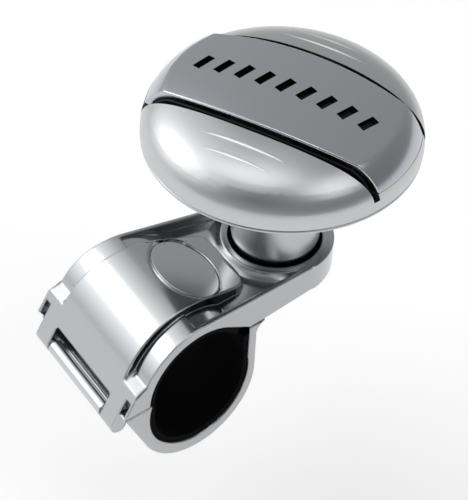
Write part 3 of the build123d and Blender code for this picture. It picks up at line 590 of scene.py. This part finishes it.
# %% [markdown]
# ## The lip under the shell
# The base plate ends in a lip that stands a little proud of the shell's skirt, with a fine
# shadow line above it. A torus would give a round bead but no flat inner side. So one profile
# is drawn, closed on its inner side, and turned round the knob's axis.

# %% A mesh on a body
def riding(name, work, finish, body_of):
    """Turn a bmesh to a piece that rides on a node's body."""
    mesh = bpy.data.meshes.new(name)
    work.to_mesh(mesh)
    work.free()
    mesh.materials.append(finish)
    piece = bpy.data.objects.new(name, mesh)
    bpy.context.scene.collection.objects.link(piece)
    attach(piece, nodes[body_of]["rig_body"])
    print(name, "faces", len(mesh.polygons))


# %% Lip
# The bead's section: distance from the axis and height, in millimetres
bead = [
    (34.50, 51.45), (34.78, 51.55), (34.92, 51.80), (34.92, 52.10), (34.78, 52.33), (34.45, 52.42),
]
work = bmesh.new()
points = [work.verts.new(axis + Vector((reach, 0.0, height)) * MM) for reach, height in bead]
outline = [work.edges.new(pair) for pair in zip(points, points[1:] + points[:1])]
bmesh.ops.spin(
    work, geom=points + outline, cent=axis, axis=(0.0, 0.0, 1.0), angle=2 * pi, steps=160,
    use_merge=True,
)
bmesh.ops.recalc_face_normals(work, faces=work.faces)
for face in work.faces:
    face.smooth = True
riding("lip_bead", work, shell_satin, "knob_base")

# %% [markdown]
# ## Flutes on the cheeks
# Each cheek has two shallow flutes, cut like a lens in plan: full width in the middle, nothing
# at the ends. A boolean cut would break up the shell's even faces and spoil its reflections.
# Instead, one strip of faces per flute lies on the dome and dips in the middle, with a
# thickness that goes down into the shell's wall, so that each is a closed shape.

# %% Flutes
lengthwise, crosswise = 20, 4
half_width, depth, above_dome, into_wall = 0.55, 0.30, 0.012, 0.6
work = bmesh.new()
for side in (-1, 1):
    for distance, half_length in ((21.4, 11.5), (25.4, 9.2)):
        rows = []
        for i in range(-lengthwise, lengthwise + 1):
            lens = 1 - (i / lengthwise) ** 2
            row = []
            for j in range(-crosswise, crosswise + 1):
                out = distance * side + j / crosswise * half_width * lens
                spot = along_band * (i / lengthwise * half_length) + across_band * out
                dip = depth * (1 - (j / crosswise) ** 2) * lens
                spot.z = dome_height(spot.length) - dip + above_dome
                row.append(work.verts.new(axis + spot * MM))
            rows.append(row)
        for near, far in zip(rows, rows[1:]):
            for k in range(2 * crosswise):
                work.faces.new((near[k], near[k + 1], far[k + 1], far[k]))
bmesh.ops.remove_doubles(work, verts=work.verts, dist=0.0005 * MM)
strips = work.faces[:]
for face in strips:
    if face.normal.z < 0:
        face.normal_flip()
under = bmesh.ops.extrude_face_region(work, geom=strips, use_keep_orig=True)
for item in under["geom"]:
    if isinstance(item, bmesh.types.BMVert):
        item.co.z -= into_wall * MM
bmesh.ops.recalc_face_normals(work, faces=work.faces)
for face in work.faces:
    face.smooth = face.normal.z > 0.5
# The flutes' near-white chrome is a painted highlight
riding("flutes", work, flute_painted_highlight, "knob_shell")

# %% [markdown]
# ## Rules for a knurl and a thread
# A socket head cap screw has a knurled head, so that it can be started by hand, and a thread.
# The knurl is one small ridge repeated round a circle, and the thread is one small section
# carried along a helix. Both could be modelled ridge by ridge. Geometry Nodes state them as
# rules instead, with their sizes as inputs, so another screw is only other numbers.

# %% Building and running a tree
def new_tree(name, sizes):
    """A Geometry Nodes tree with named size inputs."""
    tree = bpy.data.node_groups.new(name, "GeometryNodeTree")
    tree.interface.new_socket("Geometry", in_out="OUTPUT", socket_type="NodeSocketGeometry")
    for label, kind in sizes.items():
        tree.interface.new_socket(label, in_out="INPUT", socket_type="NodeSocket" + kind)
    start, end = tree.nodes.new("NodeGroupInput"), tree.nodes.new("NodeGroupOutput")
    return tree, start.outputs, end.inputs


def close_tree(tree, geometry, end, finish):
    """Turn the instances to faces, give them their finish, and close the tree."""
    solid = add_node(tree, "GeometryNodeRealizeInstances", {"Geometry": geometry})
    coated = add_node(
        tree, "GeometryNodeSetMaterial", {"Geometry": solid.outputs["Geometry"]},
        in_Material=finish,
    )
    tree.links.new(coated.outputs["Geometry"], end["Geometry"])
    print(tree.name, "has", len(tree.nodes), "nodes")


def grown(name, tree, values, matrix, body_of):
    """Run a tree with its values and keep the result as a plain mesh on a body."""
    seed = bpy.data.objects.new(name + "_seed", bpy.data.meshes.new(name + "_seed"))
    bpy.context.scene.collection.objects.link(seed)
    rule = seed.modifiers.new("rule", "NODES")
    rule.node_group = tree
    for item in tree.interface.items_tree:
        if item.in_out == "INPUT" and item.name in values:
            rule[item.identifier] = values[item.name]
    graph = bpy.context.evaluated_depsgraph_get()
    mesh = bpy.data.meshes.new_from_object(seed.evaluated_get(graph), depsgraph=graph)
    seed.modifiers.remove(rule)
    bpy.data.objects.remove(seed)
    mesh.transform(matrix)
    mesh.polygons.foreach_set("use_smooth", [True] * len(mesh.polygons))
    piece = bpy.data.objects.new(name, mesh)
    bpy.context.scene.collection.objects.link(piece)
    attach(piece, nodes[body_of]["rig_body"])
    print(name, "faces", len(mesh.polygons))


# %% Knurl
knurl, sizes, end = new_tree(
    "knurl", {"Radius": "Float", "Height": "Float", "Ridge": "Float", "Count": "Int"},
)
ring = add_node(
    knurl, "GeometryNodeMeshCircle", {"Vertices": sizes["Count"], "Radius": sizes["Radius"]},
)
ridge = add_node(
    knurl, "GeometryNodeMeshCylinder", {"Radius": sizes["Ridge"], "Depth": sizes["Height"]},
    in_Vertices=8,
)
ridges = add_node(
    knurl, "GeometryNodeInstanceOnPoints",
    {"Points": ring.outputs["Mesh"], "Instance": ridge.outputs["Mesh"]},
)
close_tree(knurl, ridges.outputs["Instances"], end, plated_screw)

# %% Thread
thread, sizes, end = new_tree(
    "thread", {"Radius": "Float", "Length": "Float", "Turns": "Float", "Crest": "Float"},
)
helix = add_node(
    thread, "GeometryNodeCurveSpiral",
    {
        "Start Radius": sizes["Radius"], "End Radius": sizes["Radius"],
        "Height": sizes["Length"], "Rotations": sizes["Turns"],
    },
    in_Resolution=40,
)
section = add_node(
    thread, "GeometryNodeCurvePrimitiveCircle", {"Radius": sizes["Crest"]}, in_Resolution=6,
)
crest = add_node(
    thread, "GeometryNodeCurveToMesh",
    {"Curve": helix.outputs["Curve"], "Profile Curve": section.outputs["Curve"]},
    in_Fill_Caps=True,
)
close_tree(thread, crest.outputs["Mesh"], end, plated_screw)

# %% [markdown]
# ## Clamp screw
# The trees are run once each and kept as plain meshes. They are made standing on the origin,
# and the joint that turns the screw says where it is and which way it points.

# %% Knurl and thread on the clamp screw
turning = joints["clamp_screw_turn"]
upright = Vector((0.0, 0.0, 1.0))
tilt = upright.rotation_difference(Vector(turning["axis"])).to_matrix().to_4x4()
screw_frame = Matrix.Translation(Vector(turning["pos_m"])) @ tilt
head_middle, thread_end = -10.7 * MM, -8.0 * MM
grown(
    "screw_knurl", knurl,
    {"Radius": 4.19 * MM, "Height": 3.9 * MM, "Ridge": 0.14 * MM, "Count": 60},
    screw_frame @ Matrix.Translation((0.0, 0.0, head_middle)), "clamp_screw",
)
grown(
    "screw_thread", thread,
    {"Radius": 2.37 * MM, "Length": 9.2 * MM, "Turns": 11.5, "Crest": 0.2 * MM},
    screw_frame @ Matrix.Translation((0.0, 0.0, thread_end)), "clamp_screw",
)

# %% [markdown]
# ## Floor
# The floor is a wide sheet of white paper. A photographer would light it from behind until it
# is white. More light here would also fall on the object, so the paper gets a little light of
# its own instead, only where the camera or a reflection sees it. It keeps the object's shadow.
# The knob hangs on a wheel's rim by its clamp and doesn't stand, so the floor lies below the
# reach of the open jaw.

# %% Floor
floor_z, half, own_light = -0.062, 2.5, 0.32
floor_mesh = bpy.data.meshes.new("floor")
corners = [(x * half, y * half, floor_z) for x, y in ((-1, -1), (1, -1), (1, 1), (-1, 1))]
floor_mesh.from_pydata(corners, [], [(0, 1, 2, 3)])
floor = bpy.data.objects.new("floor", floor_mesh)
bpy.context.scene.collection.objects.link(floor)
# Matt white paper: it takes a soft shadow and shows no gloss of its own
floor_paper, tree, shader = new_material("white_paper_floor", "#f4f4f4")
shader.inputs["Roughness"].default_value = 0.9
path = add_node(tree, "ShaderNodeLightPath")
seen = add_node(
    tree, "ShaderNodeMath",
    {0: path.outputs["Is Camera Ray"], 1: path.outputs["Is Glossy Ray"]}, operation="ADD",
)
seen = add_node(
    tree, "ShaderNodeMath",
    {0: seen.outputs["Value"], 1: path.outputs["Is Transmission Ray"]},
    operation="ADD", use_clamp=True,
)
lift = add_node(
    tree, "ShaderNodeMath", {0: seen.outputs["Value"]}, operation="MULTIPLY", in_1=own_light,
)
tree.links.new(lift.outputs["Value"], shader.inputs["Emission Strength"])
shader.inputs["Emission Color"].default_value = linear("#ffffff")
floor_mesh.materials.append(floor_paper)
print("floor", 2 * half, "m wide,", -floor_z / MM, "mm below the clamp's middle")

# %% [markdown]
# ## Room
# Chrome has no look of its own: it shows the room. The photograph's reflections give the room
# away: one large soft box high on the far left, a weaker one at the right, grey walls, and a
# darker side where the camera stands. An image of a studio would give all that too, but four
# plain gradients are easier to move, and each has one job.

# %% Walls, glow and cloth
def bearing(turn, height):
    """The direction at a compass turn and a height in degrees."""
    level = cos(radians(height))
    return Vector((level * cos(radians(turn)), level * sin(radians(turn)), sin(radians(height))))


world = bpy.data.worlds.new("studio")
bpy.context.scene.world = world
world.use_nodes = True
room = world.node_tree
direction = add_node(room, "ShaderNodeTexCoord").outputs["Generated"]


def lobe(toward, inner, outer, middle_level, outside_level):
    """Brightness round a direction: one level inside a first angle, another past a second."""
    along = add_node(
        room, "ShaderNodeVectorMath", {0: direction}, operation="DOT_PRODUCT", in_1=toward,
    )
    away = add_node(
        room, "ShaderNodeMath", {0: along.outputs["Value"]}, operation="ARCCOSINE",
    )
    level = add_node(
        room, "ShaderNodeMapRange", {"Value": away.outputs["Value"]},
        in_From_Min=radians(inner), in_From_Max=radians(outer),
        in_To_Min=middle_level, in_To_Max=outside_level,
    )
    return level.outputs["Result"]


across = add_node(
    room, "ShaderNodeVectorMath", {0: direction}, operation="DOT_PRODUCT", in_1=(-0.42, 0.90, 0.10),
)
walls = add_node(
    room, "ShaderNodeMapRange", {"Value": across.outputs["Value"]},
    in_From_Min=-1.0, in_From_Max=1.0, in_To_Min=0.26, in_To_Max=0.56,
)
# The big soft box is brightest in the middle and fades for 45 degrees round it
glow = lobe(bearing(132.0, 35.0), 8.0, 45.0, 1.45, 0.0)
# The camera stands before a black cloth, which the chrome shows as a dark patch
cloth = lobe(bearing(-146.0, 42.0), 10.0, 30.0, 0.45, 1.0)
light = add_node(room, "ShaderNodeMath", {0: walls.outputs["Result"], 1: glow}, operation="ADD")
shown = add_node(
    room, "ShaderNodeMath", {0: light.outputs["Value"], 1: cloth}, operation="MULTIPLY",
)
room.links.new(shown.outputs["Value"], room.nodes["Background"].inputs["Color"])
print("room nodes", len(room.nodes))

# %% [markdown]
# ## Lamps
# The left soft box stands in the room's glow, so that the strongest light and its reflection
# come from the same side. A weaker one on the right and one overhead open the shadows. The room
# alone could light the object, but its light has no edge, and lamps give the chrome a shape to
# mirror. A lamp's power depends on its size, so each is given as a brightness instead: a bigger
# box at the same brightness gives softer light and not a brighter mirror image.

# %% Soft boxes
lit_point = Vector((0.015, 0.0, 0.03))


def soft_box(name, turn, height, distance, size, level):
    """A square soft box in a direction, aimed at the object; level is its brightness."""
    lamp = bpy.data.lights.new(name, "AREA")
    lamp.shape = "RECTANGLE"
    lamp.size = lamp.size_y = size
    lamp.energy = level * pi * size ** 2
    holder = bpy.data.objects.new(name, lamp)
    bpy.context.scene.collection.objects.link(holder)
    toward = bearing(turn, height)
    holder.location = lit_point + distance * toward
    holder.rotation_euler = (-toward).to_track_quat("-Z", "Y").to_euler()
    print(name, round(lamp.energy, 2), "W")


soft_box("left_box", 132.0, 36.0, 0.9, 0.34, 1.9)
soft_box("right_box", -62.0, 56.0, 0.9, 0.45, 1.3)
soft_box("top_box", 170.0, 82.0, 1.0, 0.5, 1.2)

# %% [markdown]
# ## Camera
# The camera looks down at the arm from the clamp's side. Its turn, height and roll were fitted
# to the photograph's round edges: the knob's rim and the clamp's opening both show as ellipses,
# and their shape and slope say from where they are seen. A long lens at 0.7 m keeps the
# perspective as weak as the photograph's. The Standard view keeps colours as they are written.

# %% Camera fitted to the photograph
camera_turn, camera_height, camera_roll, camera_distance = 235.7474, 43.5008, 3.4104, 0.7
aim = Vector((22.8892, 3.1, 15.4535)) * MM
camera_data = bpy.data.cameras.new("camera")
camera_data.lens = 198.63
camera_data.sensor_width = 36.0
camera_data.clip_start = 0.01
camera = bpy.data.objects.new("camera", camera_data)
bpy.context.scene.collection.objects.link(camera)
toward = bearing(camera_turn, camera_height)
facing = (-toward).to_track_quat("-Z", "Y").to_matrix().to_4x4()
roll = Matrix.Rotation(radians(camera_roll), 4, "Z")
camera.matrix_world = Matrix.Translation(aim + camera_distance * toward) @ facing @ roll
bpy.context.scene.camera = camera
bpy.context.scene.view_settings.view_transform = "Standard"
print("camera at", [round(c, 4) for c in camera.matrix_world.translation])
